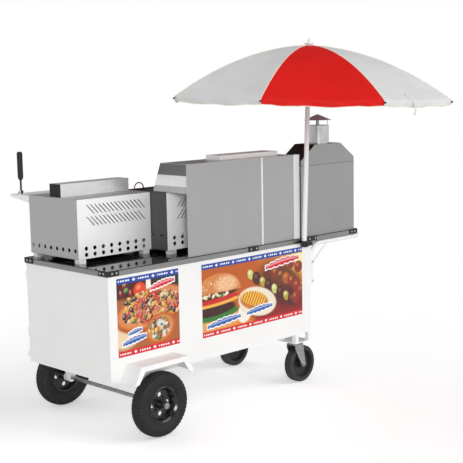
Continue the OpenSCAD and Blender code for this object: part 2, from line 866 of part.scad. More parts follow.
module lever_rod() {
  y = oven_y + oven_d + lever_y;
  z = oven_top + 5;
  color([0.1, 0.1, 0.1]) {
    cyl_x([oven_x + 10, y, z], 4, 28);
    cyl_x([oven_x + 17, y, z], 7.5, 14);
    translate([oven_x + 24, y, z]) cylinder(r = 5, h = 62);
  }
}

module lever_grip() {
  y = oven_y + oven_d + lever_y;
  color([0.06, 0.06, 0.06]) translate([oven_x + 24, y, oven_top + 67]) {
    cylinder(r1 = 8, r2 = grip_d / 2, h = 12);
    translate([0, 0, 12]) cylinder(r = grip_d / 2, h = grip_l - 18);
    translate([0, 0, grip_l - 6]) cylinder(r1 = grip_d / 2, r2 = grip_d / 2 - 5, h = 6);
  }
}

module oven_lid() {
  color("silver") difference() {
    box([oven_x + 22, lid_y, oven_top + 0.4], [oven_x + oven_w - 8, lid_y + lid_d,
      oven_top + lid_h]);
    box([oven_x + 24, lid_y + 2, oven_top - 1], [oven_x + oven_w - 10, lid_y + lid_d - 2,
      oven_top + lid_h - 2]);
  }
}

// A cabinet door from x0 to x1, hinged on the x0 side, seen from the operator side
module cabinet_door() {
  y = body_dep + 0.5;
  x1 = body_len / 2 - door_gap / 2;
  box([7, y, rail_top + 6], [x1, y + sheet, body_top - 6]);
  for (x = [7, x1 - 12]) {
    box([x, y + sheet, rail_top + 6], [x + 12, y + sheet + 2, body_top - 6]);
  }
  for (z = [rail_top + 40, body_top - 90]) {
    translate([2, hinge_y, z]) cylinder(r = 4, h = 50);
    box([2, hinge_y - 4, z], [9, hinge_y - 2, z + 50]);
  }
  for (z = [body_top - 150, body_top - 62]) {
    cyl_y([x1 - 40, y + sheet, z], 5, 26);
  }
  translate([x1 - 40, y + sheet + 26, body_top - 156]) cylinder(r = 6, h = 100);
}

module door_left() {
  color("white") cabinet_door();
}

module door_right() {
  color("white") translate([body_len, 0, 0]) mirror([1, 0, 0]) cabinet_door();
}

// Round gas knob with its spindle, pointing to the operator
module knob(x, y, z) {
  color([0.1, 0.1, 0.1]) {
    cyl_y([x, y - 8, z], 5, 12);
    difference() {
      cyl_y([x, y + 2, z], 21, 20);
      box([x - 1.5, y + 19, z], [x + 1.5, y + 24, z + 24]);
    }
  }
}

module knob_oven() {
  knob(oven_x + oven_w - 70, oven_y + oven_d, oven_z + 60);
}

module knob_left() {
  knob(grid_x + 220, grid_y + grid_d, grid_z + 60);
}

module knob_right() {
  knob(grid_x + grid_w - 220, grid_y + grid_d, grid_z + 60);
}

module pole() {
  color("white") lean() translate([0, 0, 0.3]) cylinder(r = pole_r, h = pole_l - 10);
}

module runner() {
  z = can_z(can_r) + 22;
  color([0.15, 0.15, 0.15]) lean() translate([0, 0, z]) difference() {
    union() {
      cylinder(r = pole_r + 7, h = 26);
      translate([0, 0, 20]) cylinder(r = pole_r + 10, h = 6);
    }
    translate([0, 0, -1]) cylinder(r = pole_r + 0.3, h = 40);
  }
}

module crown() {
  color([0.15, 0.15, 0.15]) lean() difference() {
    union() {
      translate([0, 0, pole_l - 16]) cylinder(r = 26, h = 22);
      translate([0, 0, pole_l]) cylinder(r = 18, h = 24);
      translate([0, 0, pole_l + 18]) cylinder(r = 27, h = 6);
      translate([0, 0, pole_l + 24]) cylinder(r1 = 12, r2 = 5, h = 24);
    }
    translate([0, 0, pole_l - 20]) cylinder(r = pole_r + 0.1, h = 12);
  }
}

// The line of one rib, lowered by d
function rib_pt(r, d) = [r, can_z(r) - d];

module ribs() {
  color([0.2, 0.2, 0.2]) lean() for (i = [0 : ribs_n - 1]) {
    rotate(rib_turn + i * 360 / ribs_n) rotate([90, 0, 0]) linear_extrude(5, center = true)
      polygon([[26.2, can_z(30) - 4], rib_pt(30, 4),
        for (t = [0.25 : 0.25 : 0.75]) rib_pt(can_r * t, 4),
        rib_pt(can_r - 6, 4.4), rib_pt(can_r - 6, 9), for (t = [0.75 : -0.25 : 0.25])
        rib_pt(can_r * t, 10.5), [26.2, can_z(30) - 11]]);
  }
}

module stretchers() {
  ra = can_r / 2;
  za = can_z(ra) - 11.4;
  zb = can_z(can_r) + 22 + 14;
  color([0.2, 0.2, 0.2]) lean() for (i = [0 : ribs_n - 1]) {
    rotate(rib_turn + i * 360 / ribs_n) rotate([90, 0, 0]) linear_extrude(4, center = true)
      polygon([[pole_r + 7.2, zb], [ra, za], [ra + 10, za - 4],
        [ra + 10, za - 12], [pole_r + 7.2, zb - 6]]);
  }
}

// A ring of the canopy between two radii, as a cone with flat gores
module tier(r1, r2) {
  translate([0, 0, can_z(r1)]) cylinder(r1 = r1, r2 = r2, h = can_z(r2) - can_z(r1), $fn = ribs_n);
}

// The sloping part of the canopy in four rings
module slopes(rim) {
  tier(rim, can_r * 0.75);
  tier(can_r * 0.75, can_r * 0.5);
  tier(can_r * 0.5, can_r * 0.25);
  tier(can_r * 0.25, 30);
}

module canopy() {
  color("red") lean() rotate(rib_turn) difference() {
    union() {
      slopes(can_r);
      translate([0, 0, can_z(can_r) - 24]) cylinder(r = can_r, h = 24, $fn = ribs_n);
    }
    translate([0, 0, -3]) {
      slopes(can_r - 0.01);
      translate([0, 0, can_z(can_r) - 30]) cylinder(r = can_r - 3, h = 31, $fn = ribs_n);
    }
    translate([0, 0, pole_l - 10]) cylinder(r = 20, h = 60);
  }
}

place() frame();
place() front_panel();
place() end_panels();
place() floor_panel();
place() worktop();
place() edge_moulding();
place() edge_covers();
place() screws();
place() wheel_arches();
place() axle();
place() risers();
place() handle();
place() print_small();
place() print_wide();
place() oven_shell();
place() oven_ledge();
place() stove_feet();
place() oven_deck();
place() burners();
place() griddle_shell();
place() griddle_plate();
place() lift_handle();
place() gas_inlet();
place() guard_panel();
place() guard_roof();
place() guard_tray();
place() hood_box();
place() hood_roof();
place() chimney();
place() chimney_cap();
place() grill_tray();
place() grill_grate();
place() pole_socket();
place() caster_plates();
place() tyre_front();
place() rim_front();
place() tyre_back();
place() rim_back();
place() fork_front();
place() caster_tyre_front();
place() caster_core_front();
place() fork_back();
place() caster_tyre_back();
place() caster_core_back();
place() oven_door();
place() lever_rod();
place() lever_grip();
place() oven_lid();
place() door_left();
place() door_right();
place() knob_oven();
place() knob_left();
place() knob_right();
place() pole();
place() runner();
place() crown();
place() ribs();
place() stretchers();
place() canopy();
place() clamp_knob();
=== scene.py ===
import json
import bpy
import numpy as np
from mathutils import Matrix, Vector


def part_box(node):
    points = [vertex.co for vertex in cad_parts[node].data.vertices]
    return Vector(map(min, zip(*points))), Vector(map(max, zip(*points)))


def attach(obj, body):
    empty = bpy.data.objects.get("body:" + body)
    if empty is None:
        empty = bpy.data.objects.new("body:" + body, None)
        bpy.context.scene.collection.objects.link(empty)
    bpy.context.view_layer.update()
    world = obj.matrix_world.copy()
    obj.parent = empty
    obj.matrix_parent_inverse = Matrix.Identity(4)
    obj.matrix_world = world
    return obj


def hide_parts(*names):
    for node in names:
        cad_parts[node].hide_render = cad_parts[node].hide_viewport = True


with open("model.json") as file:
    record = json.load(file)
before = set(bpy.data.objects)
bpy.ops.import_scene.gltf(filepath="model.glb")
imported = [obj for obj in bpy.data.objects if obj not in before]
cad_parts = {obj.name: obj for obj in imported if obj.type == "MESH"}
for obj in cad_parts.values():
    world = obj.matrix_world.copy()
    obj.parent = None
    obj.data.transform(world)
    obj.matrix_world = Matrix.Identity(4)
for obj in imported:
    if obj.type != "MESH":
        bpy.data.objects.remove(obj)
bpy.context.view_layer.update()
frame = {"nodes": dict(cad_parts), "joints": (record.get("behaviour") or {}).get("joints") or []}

nodes = frame["nodes"]
scene = bpy.context.scene
scene.view_settings.view_transform = "Standard"


def linear(hexColour):
    # an sRGB hex colour as linear red, green, blue and alpha
    srgb = np.array([int(hexColour[i:i + 2], 16) for i in (1, 3, 5)]) / 255
    return (*np.where(srgb <= 0.04045, srgb / 12.92, ((srgb + 0.055) / 1.055) ** 2.4), 1.0)


def add(tree, kind, settings=None, inputs=None):
    # one shader node: settings by name, inputs by name or number, each a value or a node's output.
    # A colour Mix takes its share at 0 and its colours at 6 and 7, and gives the result at 2
    made = tree.nodes.new("ShaderNode" + kind)
    for name, value in (settings or {}).items():
        setattr(made, name, value)
    for name, value in (inputs or {}).items():
        if isinstance(value, bpy.types.NodeSocket):
            tree.links.new(value, made.inputs[name])
        else:
            made.inputs[name].default_value = value
    return made


def gridFaces(rows, columns, wrapRows=False, wrapColumns=False):
    # four corners for each cell of a grid of points, row after row; a wrapped side joins its last
    # line to its first
    row = np.arange(rows if wrapRows else rows - 1)[:, None]
    column = np.arange(columns if wrapColumns else columns - 1)[None]
    below, right = (row + 1) % rows, (column + 1) % columns
    cells = [row * columns + column, row * columns + right, below * columns + right,
             below * columns + column]
    return np.stack(cells, -1).reshape(-1, 4)


def makePiece(name, points, faces, materials, body, slotName, smooth=True):
    # a mesh of its points in metres and its faces, riding on a body
    mesh = bpy.data.meshes.new(name)
    mesh.from_pydata(np.asarray(points, float).reshape(-1, 3).tolist(), [],
                     [list(f) for f in faces])
    mesh.polygons.foreach_set("use_smooth", np.full(len(mesh.polygons), smooth))
    for material in materials if isinstance(materials, (list, tuple)) else [materials]:
        mesh.materials.append(material)
    piece = bpy.data.objects.new(name, mesh)
    scene.collection.objects.link(piece)
    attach(piece, body)
    return piece


def tube(path, radius, sides=10, closed=False):
    # a circle carried along a path: each ring stands square to the path's direction there
    path = np.asarray(path, float)
    along = np.roll(path, -1, 0) - np.roll(path, 1, 0) if closed else np.gradient(path, axis=0)
    along /= np.linalg.norm(along, axis=1, keepdims=True)
    steep = np.abs(along[:, 2]).max() >= 0.95
    reference = np.array([0.31, 0.95, 0.0] if steep else [0.0, 0.0, 1.0])
    across = np.cross(along, reference)
    across /= np.linalg.norm(across, axis=1, keepdims=True)
    upward = np.cross(across, along)
    turn = np.linspace(0, 2 * np.pi, sides, endpoint=False)[None, :, None]
    ring = np.cos(turn) * across[:, None] + np.sin(turn) * upward[:, None]
    points = (path[:, None] + radius * ring).reshape(-1, 3)
    faces = [list(f) for f in gridFaces(len(path), sides, closed, True)]
    if not closed:
        last = (len(path) - 1) * sides
        faces += [list(range(sides)), list(range(last + sides - 1, last - 1, -1))]
    return points, faces


def joinParts(parts):
    # several (points, faces) pairs as one
    points, faces, start = [], [], 0
    for somePoints, someFaces in parts:
        points.append(somePoints)
        faces += [[i + start for i in f] for f in someFaces]
        start += len(somePoints)
    return np.concatenate(points), faces


# how the fine grain adds to the slow clouds, and the spans of their sum that become tone and gloss
mixing = {"grain": 0.45, "tone": (0.5, 0.95), "gloss": (0.4, 1.05)}


def finish(name, colour, spread=0.05, roughness=0.5, swing=0.05, grain=(1, 1, 1), depth=0.01,
           cloud=(90, 90, 90), flecks=None, bands=(), **fixed):
    # one real surface: a fine grain with bump, over slow clouds of tone. Sizes are millimetres
    # along X, Y and Z; a band is a strip or plate of another tone: its axis, its two ends in
    # metres and its colour
    material = bpy.data.materials.new(name)
    material.use_nodes = True
    tree = material.node_tree
    shader = tree.nodes["Principled BSDF"]
    for key, value in fixed.items():
        shader.inputs[key.replace("_", " ")].default_value = value
    place = add(tree, "TexCoord").outputs["Object"]
    fineSpace = add(tree, "Mapping", {}, {"Vector": place,
                                          "Scale": [1000 / size for size in grain]})
    cloudSpace = add(tree, "Mapping", {}, {"Vector": place,
                                           "Scale": [1000 / size for size in cloud]})
    fine = add(tree, "TexNoise", {}, {"Vector": fineSpace.outputs[0], "Scale": 1.0, "Detail": 2.0})
    slow = add(tree, "TexNoise", {}, {"Vector": cloudSpace.outputs[0], "Scale": 1.0, "Detail": 3.0})
    both = add(tree, "Math", {"operation": "MULTIPLY_ADD"},
               {0: fine.outputs[0], 1: mixing["grain"], 2: slow.outputs[0]})
    base = np.array(linear(colour)[:3])
    dark, light = (*(base * (1 - spread)), 1.0), (*np.minimum(base * (1 + spread), 1), 1.0)
    tone = add(tree, "MapRange", {}, {0: both.outputs[0], 1: mixing["tone"][0],
                                      2: mixing["tone"][1], 3: 0.0, 4: 1.0})
    shade = add(tree, "Mix", {"data_type": "RGBA"}, {0: tone.outputs[0], 6: dark, 7: light})
    colourOut = shade.outputs[2]
    if flecks:  # (hex colour, spacing in mm, share): chips or spangle of another colour
        cells = add(tree, "TexVoronoi", {}, {"Vector": place, "Scale": 1000 / flecks[1]})
        pick = add(tree, "SeparateColor", {}, {0: cells.outputs["Color"]})
        keep = add(tree, "MapRange", {},
                   {0: pick.outputs[0], 1: 1 - flecks[2], 2: 1.0, 3: 0.0, 4: 1.0})
        mixed = add(tree, "Mix", {"data_type": "RGBA"},
                    {0: keep.outputs[0], 6: colourOut, 7: linear(flecks[0])})
        colourOut = mixed.outputs[2]
    for axis, low, high, bandColour in bands:
        spot = add(tree, "SeparateXYZ", {}, {0: place}).outputs[axis]
        inside = add(tree, "Math", {"operation": "COMPARE"},
                     {0: spot, 1: (low + high) / 2, 2: (high - low) / 2})
        banded = add(tree, "Mix", {"data_type": "RGBA"},
                     {0: inside.outputs[0], 6: colourOut, 7: linear(bandColour)})
        colourOut = banded.outputs[2]
    tree.links.new(colourOut, shader.inputs["Base Color"])
    gloss = add(tree, "MapRange", {}, {0: both.outputs[0], 1: mixing["gloss"][0],
                                       2: mixing["gloss"][1], 3: max(roughness - swing, 0.02),
                                       4: roughness + swing})
    tree.links.new(gloss.outputs[0], shader.inputs["Roughness"])
    bump = add(tree, "Bump", {},
               {"Height": fine.outputs[0], "Distance": depth / 1000, "Strength": 1.0})
    tree.links.new(bump.outputs[0], shader.inputs["Normal"])
    return material


# powder-coated sheet: near white, a faint orange peel about 3 mm across
powderCoat = finish("powder_coated_steel", "#F2F2F1", 0.02, 0.36, 0.05, (3, 3, 3), 0.02,
                    (260, 260, 260), Coat_Weight=0.15, Coat_Roughness=0.2)
# satin stainless sheet, brushed up and down: hairlines under 1 mm drawn 2 mm wide, with broad soft
# bands; on the guard painted highlights on a joint strip and on the folded edge, on the hood a seam
guardSteel = finish("satin_brushed_stainless", "#BCBCBC", 0.03, 0.42, 0.04, (2, 2, 260), 0.004,
                    (110, 110, 900),
                    bands=((0, 0.3215, 0.3325, "#FFFFFF"), (0, 0.5705, 0.612, "#F4F4F4")),
                    Metallic=1.0)
hoodSteel = finish("satin_brushed_stainless_hood", "#ACACAC", 0.03, 0.42, 0.04, (2, 2, 260), 0.004,
                   (110, 110, 900), bands=((2, 1.194, 1.1985, "#8C8C8C"),), Metallic=1.0)
# the gable's sheet, its two slopes painted dark: a painted reflection
gableSteel = finish("stainless_with_painted_dark_reflection", "#A9A9A9", 0.03, 0.40, 0.04, (2, 2, 260), 0.004,
                    (110, 110, 900), bands=((1, -0.3142, -0.165, "#2C2C2E"),), Metallic=1.0)
# polished sheet of the guard's roof and cheeks, painted in a dark upper band and a light band below
# it: painted reflections
satinRoof = finish("stainless_with_painted_reflection_bands", "#B4B4B4", 0.05, 0.30, 0.05, (260, 2, 2), 0.004,
                   (900, 70, 70),
                   bands=((2, 1.205, 1.2601, "#78787A"), (2, 1.152, 1.205, "#EAEAEA")),
                   Metallic=0.8)
# bright annealed stainless casings: smoother and lighter, with slow oil-canning. On the oven the
# left end face is painted darker and the top face grey: painted shade
ovenSteel = finish("bright_annealed_stainless", "#FAFAFA", 0.02, 0.42, 0.05, (240, 240, 2.2), 0.004,
                   (160, 160, 110),
                   bands=((0, -0.672, -0.6685, "#B4B4B4"), (2, 1.1165, 1.119, "#A8A8A8")),
                   Metallic=0.30)
# the griddle's casing painted white and without metal, painted light that keeps its front bright
# under the guard; its left end face painted dark grey, a painted reflection of the oven's shaded
# side
griddleSteel = finish("stainless_griddle_painted_bright_with_dark_side", "#FFFFFF", 0.0, 0.5, 0.05,
                      (240, 240, 2.2), 0.004, (160, 160, 110),
                      bands=((0, -0.2185, -0.2155, "#454547"),), Metallic=0.0)
# the oven lid's left end face painted near black: painted shade
lidSteel = finish("bright_annealed_stainless_lid", "#F2F2F2", 0.03, 0.34, 0.05, (240, 240, 2.2),
                  0.004, (160, 160, 110), bands=((0, -0.6495, -0.6465, "#262628"),), Metallic=0.6)
# rolled chimney pipe: bright with faint rings
pipeSteel = finish("rolled_pipe_stainless", "#D4D4D6", 0.08, 0.2, 0.05, (140, 140, 2.4), 0.006,
                   (60, 60, 14), Metallic=1.0)
# post-formed worktop laminate: deep black gloss with sparse grey chips
blackLaminate = finish("black_gloss_laminate", "#18181A", 0.15, 0.07, 0.03, (2, 2, 2), 0.002,
                       (120, 120, 120), flecks=("#3C3C40", 3.0, 0.12), IOR=1.5)
# extruded edge moulding: fine lines along its length
mouldingAlloy = finish("anodised_aluminium_moulding", "#A2A2A0", 0.06, 0.34, 0.05, (300, 300, 1.2),
                       0.01, (200, 200, 40), Metallic=1.0)
# injection-moulded black ABS: spark-eroded grain
mouldedBlack = finish("moulded_black_abs", "#1B1B1C", 0.12, 0.42, 0.06, (0.9, 0.9, 0.9), 0.03,
                      (40, 40, 40), IOR=1.5)
# vinyl lever grip, slightly glossy
gripVinyl = finish("dipped_black_vinyl", "#161617", 0.1, 0.3, 0.06, (1.4, 1.4, 1.4), 0.02,
                   (30, 30, 30), IOR=1.5)
# hot-dip zinc with its spangle about 7 mm across
zincCoat = finish("galvanised_steel", "#A9ABAD", 0.08, 0.38, 0.08, (2, 2, 2), 0.01, (40, 40, 40),
                  flecks=("#C4C6C8", 7.0, 0.5), Metallic=1.0)
# the same coat weathered dull on the rain cap
capZinc = finish("weathered_galvanised_steel", "#AFB6B8", 0.06, 0.6, 0.06, (2, 2, 2), 0.01,
                 (40, 40, 40), flecks=("#C0C8CA", 7.0, 0.4), Metallic=0.25)
# bright zinc screws and pins
brightZinc = finish("bright_zinc_plate", "#CFCFD0", 0.05, 0.22, 0.05, (1, 1, 1), 0.004,
                    (12, 12, 12), Metallic=1.0)
# vulcanised rubber with bloom and dust
tyreRubber = finish("vulcanised_rubber", "#141414", 0.18, 0.70, 0.08, (1.6, 1.6, 1.6), 0.05,
                    (50, 50, 50), IOR=1.52)
casterRubber = finish("caster_rubber", "#2A2A2B", 0.14, 0.55, 0.08, (1.2, 1.2, 1.2), 0.03,
                      (30, 30, 30), IOR=1.52)
casterNylon = finish("black_nylon_core", "#202021", 0.12, 0.45, 0.06, (1.1, 1.1, 1.1), 0.02,
                     (24, 24, 24), IOR=1.53)
# black stoved enamel on the pressed rims
rimEnamel = finish("black_stoved_enamel", "#19191A", 0.15, 0.24, 0.06, (2.4, 2.4, 2.4), 0.02,
                   (30, 30, 30), Coat_Weight=0.4, Coat_Roughness=0.12)
# seasoned cast iron
castIron = finish("seasoned_cast_iron", "#2B2A29", 0.2, 0.55, 0.1, (1.6, 1.6, 1.6), 0.06,
                  (60, 60, 60), Metallic=0.9)
# the griddle plate: its front face painted white like the casing's painted-light front, and its
# left face dark grey, painted reflection like the casing's side
griddleIron = finish("seasoned_cast_iron_with_painted_face_tones", "#2B2A29", 0.2, 0.5, 0.1, (1.6, 1.6, 1.6),
                     0.02, (60, 60, 60),
                     bands=((1, -0.187, -0.1852, "#FFFFFF"), (0, -0.2185, -0.2162, "#454547")),
                     Metallic=0.3)
# fireclay oven deck
fireClay = finish("fireclay_deck", "#B79E7E", 0.12, 0.85, 0.05, (2.5, 2.5, 2.5), 0.15, (50, 50, 50),
                  flecks=("#8C7458", 5.0, 0.2))
bronzeRod = finish("tarnished_bronze", "#7A5630", 0.15, 0.35, 0.08, (2, 2, 2), 0.01, (15, 15, 15),
                   Metallic=1.0)
turnedBrass = finish("turned_brass", "#B99A54", 0.08, 0.28, 0.06, (30, 0.8, 30), 0.006,
                     (20, 20, 20), Metallic=1.0)
ribSteel = finish("grey_lacquered_steel", "#5E6062", 0.1, 0.4, 0.06, (2, 2, 2), 0.01, (30, 30, 30),
                  Metallic=0.7)
whiteFinial = finish("moulded_white_abs", "#E9E8E4", 0.04, 0.4, 0.05, (1, 1, 1), 0.02, (20, 20, 20),
                     IOR=1.5)

dressing = {
    powderCoat: ["frame", "front_panel", "end_panels", "floor_panel", "wheel_arches", "risers",
                 "handle", "door_left", "door_right", "pole"],
    guardSteel: ["guard_panel"],
    hoodSteel: ["hood_box"],
    gableSteel: ["hood_roof"],
    satinRoof: ["guard_roof"],
    ovenSteel: ["oven_shell", "oven_ledge", "oven_door", "stove_feet"],
    griddleSteel: ["griddle_shell"],
    lidSteel: ["oven_lid", "guard_tray"],
    pipeSteel: ["chimney"],
    capZinc: ["chimney_cap"],
    blackLaminate: ["worktop"],
    mouldingAlloy: ["edge_moulding"],
    mouldedBlack: ["edge_covers", "pole_socket", "clamp_knob", "knob_oven", "knob_left",
                   "knob_right", "runner", "lever_rod"],
    gripVinyl: ["lever_grip"],
    zincCoat: ["axle", "fork_front", "fork_back", "caster_plates"],
    brightZinc: ["screws", "grill_grate"],
    casterRubber: ["caster_tyre_front", "caster_tyre_back"],
    casterNylon: ["caster_core_front", "caster_core_back"],
    tyreRubber: ["tyre_front", "tyre_back"],
    rimEnamel: ["rim_front", "rim_back"],
    griddleIron: ["griddle_plate"],
    castIron: ["burners", "grill_tray"],
    fireClay: ["oven_deck"],
    bronzeRod: ["lift_handle"],
    turnedBrass: ["gas_inlet"],
    ribSteel: ["ribs", "stretchers"],
    whiteFinial: ["crown"],
}
for material, names in dressing.items():
    for name in names:
        nodes[name].data.materials.clear()
        nodes[name].data.materials.append(material)
print("finishes on the frame's own parts")

# metres; the same sizes as the solid canopy, in a frame that stands on the pole's foot
canopy = {"radius": 0.750, "crown": 1.060, "drop": 0.268, "hub": 0.030, "ribTurn": 24, "gores": 8,
          "across": 24, "rows": 34, "hem": 0.024, "hemRows": 6, "sag": 0.009, "scallop": 0.005,
          "below": 0.0024, "straight": 0.10, "slant": 0.82, "piping": 0.0018, "flatSide": 1.60,
          "area": 1.70, "thick": 0.0008}
# creases that fade away from the ribs and the rim, and the waves of the hem: heights in metres,
# waves over one gore
crease = {"height": 0.0022, "waves": 14, "ribFade": 6, "rimFade": 9, "ramp": 12}
hemWave = {"wide": 0.0042, "wideWaves": 6, "wideShift": 2.1, "fine": 0.0022, "fineWaves": 15,
           "tuck": 0.004, "uneven": 0.10, "unevenWaves": 5, "unevenShift": 1.3, "ramp": 8}
turnJoint = next(j for j in frame["joints"] if j["name"] == "umbrella_turn")
poleAxis = Vector(turnJoint["axis"]).normalized()
poleSide = Vector((0, 1, 0)).cross(poleAxis).normalized()
poleFoot = Vector(turnJoint["pos_m"]) - poleAxis * 0.010
poleFrame = np.array([poleSide, poleAxis.cross(poleSide), poleAxis], float)


def leaning(points):
    # from the umbrella's own frame to the row frame
    return np.asarray(points, float) @ poleFrame + np.array(poleFoot, float)


def ribLine(t):
    # radius and height of a rib at share t of its length: part straight, part parabola, so that it
    # steepens outwards
    fall = canopy["straight"] * t + (1 - canopy["straight"]) * t ** 2
    start = canopy["hub"] / canopy["radius"]
    atHub = canopy["straight"] * start + (1 - canopy["straight"]) * start ** 2
    return canopy["radius"] * t, canopy["crown"] - canopy["below"] - canopy["drop"] * (fall - atHub)


def clothAt(gore, share, t):
    # the cloth hangs on straight lines from rib to rib, drawn in and down between them, most near
    # the rim, with fine creases that run in from the rib ends
    radius, height = ribLine(t)
    angle = np.radians(canopy["ribTurn"] + (np.stack([gore, gore + 1]) * 360 / canopy["gores"]))
    a = np.stack([radius * np.cos(angle[0]), radius * np.sin(angle[0]), height], -1)
    b = np.stack([radius * np.cos(angle[1]), radius * np.sin(angle[1]), height], -1)
    at = a + (b - a) * share[..., None]
    bow = 4 * share * (1 - share)
    inward = -at[..., :2] / np.maximum(np.linalg.norm(at[..., :2], axis=-1, keepdims=True), 1e-6)
    at[..., :2] += inward * (canopy["scallop"] * bow * t ** 3)[..., None]
    at[..., 2] -= canopy["sag"] * bow * t ** 1.5
    fromRib = np.minimum(share, 1 - share)
    ripple = np.sin(share * np.pi * crease["waves"] + gore) * np.exp(-crease["ribFade"] * fromRib)
    ripple = ripple * np.exp(-crease["rimFade"] * (1 - t))
    at[..., 2] += crease["height"] * ripple * np.minimum(1, crease["ramp"] * fromRib)
    return at


def valanceAt(gore, share, down):
    # the hem hangs straight down from the rim, with loose waves that grow towards its lower edge
    top = clothAt(gore, share, np.ones_like(share))
    outward = top[..., :2] / np.linalg.norm(top[..., :2], axis=-1, keepdims=True)
    free = np.minimum(1, hemWave["ramp"] * np.minimum(share, 1 - share))
    wideTurn = share * np.pi * hemWave["wideWaves"] + gore * hemWave["wideShift"]
    fineTurn = share * np.pi * hemWave["fineWaves"] + gore
    wave = hemWave["wide"] * np.sin(wideTurn) + hemWave["fine"] * np.sin(fineTurn)
    top[..., :2] += outward * ((wave * free - hemWave["tuck"]) * down)[..., None]
    uneven = np.sin(share * np.pi * hemWave["unevenWaves"] + gore * hemWave["unevenShift"])
    top[..., 2] -= canopy["hem"] * down * (1 + hemWave["uneven"] * uneven * free)
    return top


column = np.arange(canopy["gores"] * canopy["across"])
gore, share = column // canopy["across"], (column % canopy["across"]) / canopy["across"]
rise = np.linspace(canopy["hub"] / canopy["radius"], 1, canopy["rows"])
goreGrid, tGrid = np.broadcast_arrays(gore[None], rise[:, None])
top = clothAt(goreGrid, np.broadcast_to(share[None], tGrid.shape), tGrid)
downGrid = np.linspace(0, 1, canopy["hemRows"] + 1)[1:, None] * np.ones_like(share)[None]
hang = valanceAt(np.broadcast_to(gore[None], downGrid.shape),
                 np.broadcast_to(share[None], downGrid.shape), downGrid)
clothPoints = leaning(np.concatenate([top, hang]).reshape(-1, 3))
clothFaces = gridFaces(canopy["rows"] + canopy["hemRows"], len(column), False, True)


# the wave texture turns 20 radians per unit, so at this scale its ribs lie 15 mm apart
weaveScale = 21


def wovenCloth(name, colour):
    # polyester umbrella cloth: a grain of threads drawn 2.4 mm wide so that it shows, soft ribs
    # both ways and a dull satin sheen
    material = finish(name, colour, 0.05, 0.62, 0.06, (2.4, 2.4, 2.4), 0.01, (130, 130, 130),
                      Specular_IOR_Level=0.25)
    tree = material.node_tree
    shader = tree.nodes["Principled BSDF"]
    uv = add(tree, "UVMap", {"uv_map": "cloth"}).outputs[0]
    axes = [add(tree, "TexWave", {"bands_direction": way},
                {"Vector": uv, "Scale": weaveScale}) for way in "XY"]
    weave = add(tree, "Math", {"operation": "ADD"},
                {0: axes[0].outputs["Fac"], 1: axes[1].outputs["Fac"]})
    bump = add(tree, "Bump", {}, {"Height": weave.outputs[0], "Distance": 0.00012, "Strength": 0.6})
    tree.links.new(bump.outputs[0], shader.inputs["Normal"])
    return material


redCloth = wovenCloth("red_polyester_cloth", "#DC130C")
whiteCloth = wovenCloth("white_polyester_cloth", "#DCDCDC")
tapeCloth = finish("cream_binding_tape", "#F3E6CF", 0.05, 0.7, 0.05, (2, 2, 2), 0.03, (20, 20, 20))
cloth = makePiece("canopy_cloth", clothPoints, clothFaces, [redCloth, whiteCloth], "umbrella",
                  "canopy")
faceGore = np.tile(gore, canopy["rows"] + canopy["hemRows"] - 1)
cloth.data.polygons.foreach_set("material_index", (faceGore % 2).astype(np.int32))
# the weave's own map: metres along the rim and metres down from the crown
corner = np.empty(len(cloth.data.loops), np.int32)
cloth.data.loops.foreach_get("vertex_index", corner)
cornerRow, cornerColumn = np.divmod(corner, len(column))
lengths = np.concatenate([rise * canopy["slant"], canopy["slant"] + downGrid[:, 0] * canopy["hem"]])
rimWidth = 2 * canopy["radius"] * np.sin(np.pi / canopy["gores"])
goreWidth = rimWidth * np.minimum(lengths / canopy["slant"], 1)
uvs = np.stack([(share[cornerColumn] - 0.5) * goreWidth[cornerRow], lengths[cornerRow]], -1)
cloth.data.uv_layers.new(name="cloth").data.foreach_set("uv", uvs.astype(np.float32).ravel())
thicken = cloth.modifiers.new("cloth_thickness", "SOLIDIFY")
thicken.thickness, thicken.offset = canopy["thick"], -1
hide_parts("canopy")

# the angle of each rib, in radians
ribAngles = [np.radians(canopy["ribTurn"] + 360 / canopy["gores"] * k)
             for k in range(canopy["gores"])]

# cream tape sewn over each seam, and round the lower edge of the hem
tape = {"start": 0.05, "rings": 46, "sides": 8, "proud": 0.0012, "drops": (0.006, 0.014, 0.023)}
radius, height = ribLine(np.linspace(tape["start"], 1, tape["rings"]))
seams = []
for angle in ribAngles:
    seam = np.stack([radius * np.cos(angle), radius * np.sin(angle), height + tape["proud"]], -1)
    drop = np.stack([seam[-1] + [0, 0, -d] for d in tape["drops"]])
    seams.append(tube(leaning(np.concatenate([seam, drop])), canopy["piping"], tape["sides"]))
rim = valanceAt(gore, share, np.ones_like(share))
seams.append(tube(leaning(rim), canopy["piping"], tape["sides"], closed=True))
piping = makePiece("canopy_piping", *joinParts(seams), tapeCloth, "umbrella", "canopy")

# black moulded tips on the rib ends, at the corners of the rim
tip = {"inset": 0.004, "sunk": 0.006, "length": 0.012, "dip": 0.005, "radius": 0.0042, "sides": 8}
radius, height = ribLine(1.0)
tips = []
for angle in ribAngles:
    outward = np.array([np.cos(angle), np.sin(angle), 0])
    inner = outward * (radius - tip["inset"]) + [0, 0, height - tip["sunk"]]
    outer = inner + outward * tip["length"] - [0, 0, tip["dip"]]
    tips.append(tube(leaning(np.stack([inner, outer])), tip["radius"], tip["sides"]))
makePiece("canopy_rib_tips", *joinParts(tips), mouldedBlack, "umbrella", "canopy")

